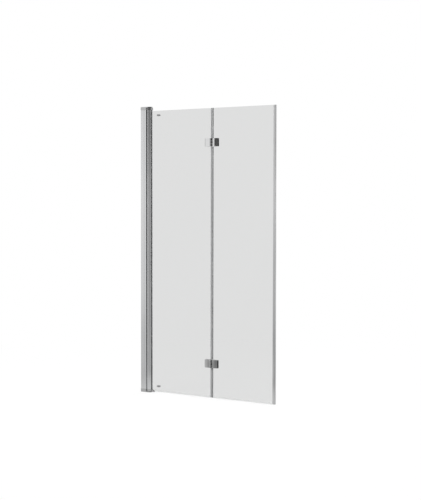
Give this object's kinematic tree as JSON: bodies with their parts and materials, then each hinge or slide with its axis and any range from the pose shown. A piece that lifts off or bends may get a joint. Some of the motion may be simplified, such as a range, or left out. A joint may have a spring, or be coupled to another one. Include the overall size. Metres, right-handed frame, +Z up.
{
  "type": "folding bath screen",
  "caption": "Folding glass bath screen with a wall channel, a pivoting inner panel and an outer panel hinged to it.",
  "frame": {"origin": "on the wall face, on the centre line of the wall channel, at the foot of the bottom cap", "axes": "+X from the wall along the screen, +Y from the front to the back, +Z up"},
  "size_m": [0.8, 0.0347, 1.5],
  "materials": {
    "satin_aluminium": "satin anodised",
    "polished_chrome": "polished",
    "stainless_steel": "brushed",
    "clear_glass": "clear toughened",
    "soft_seal": "translucent",
    "dark_rubber": "matt",
    "white_nylon": "matt"
  },
  "bodies": {
    "wall_frame": {"wall_channel": "satin_aluminium", "adjusting_profile": "satin_aluminium", "pivot_lip_seal": "dark_rubber", "locking_screws": "stainless_steel", "screw_caps": "satin_aluminium", "top_pivot_bracket": "stainless_steel", "bottom_pivot_bracket": "stainless_steel", "bracket_screws": "stainless_steel", "upper_pivot_pin": "stainless_steel", "lower_pivot_pin": "stainless_steel", "top_cap": "polished_chrome", "bottom_cap": "polished_chrome"},
    "inner_panel": {"pivot_profile": "satin_aluminium", "upper_pivot_bush": "white_nylon", "lower_pivot_bush": "white_nylon", "profile_top_plug": "polished_chrome", "profile_bottom_shoe": "polished_chrome", "glazing_gasket_front": "dark_rubber", "glazing_gasket_back": "dark_rubber", "inner_glass": "clear_glass", "inner_bottom_seal": "soft_seal", "centre_seal_upper": "soft_seal", "centre_seal_middle": "soft_seal", "centre_seal_lower": "soft_seal", "upper_buffer": "dark_rubber", "lower_buffer": "dark_rubber", "upper_hinge_inner_leaf": "polished_chrome", "upper_hinge_inner_clamp": "polished_chrome", "upper_hinge_inner_pads": "dark_rubber", "upper_hinge_inner_sleeves": "white_nylon", "upper_hinge_inner_screws": "stainless_steel", "upper_hinge_pin": "stainless_steel", "lower_hinge_inner_leaf": "polished_chrome", "lower_hinge_inner_clamp": "polished_chrome", "lower_hinge_inner_pads": "dark_rubber", "lower_hinge_inner_sleeves": "white_nylon", "lower_hinge_inner_screws": "stainless_steel", "lower_hinge_pin": "stainless_steel"},
    "outer_panel": {"outer_glass": "clear_glass", "edge_strip": "satin_aluminium", "outer_bottom_seal": "soft_seal", "upper_hinge_outer_leaf": "polished_chrome", "upper_hinge_outer_clamp": "polished_chrome", "upper_hinge_outer_pads": "dark_rubber", "upper_hinge_outer_sleeves": "white_nylon", "upper_hinge_outer_screws": "stainless_steel", "upper_hinge_bushes": "white_nylon", "lower_hinge_outer_leaf": "polished_chrome", "lower_hinge_outer_clamp": "polished_chrome", "lower_hinge_outer_pads": "dark_rubber", "lower_hinge_outer_sleeves": "white_nylon", "lower_hinge_outer_screws": "stainless_steel", "lower_hinge_bushes": "white_nylon"}
  },
  "joints": [
    {"name": "wall_pivot", "type": "hinge", "parent": "wall_frame", "child": "inner_panel", "pos_m": [0.0436, 0, 0.75], "axis": [0, 0, 1], "range_deg": [-90, 90]},
    {"name": "fold", "type": "hinge", "parent": "inner_panel", "child": "outer_panel", "pos_m": [0.4308, -0.0086, 0.75], "axis": [0, 0, -1], "range_deg": [0, 180]}
  ]
}
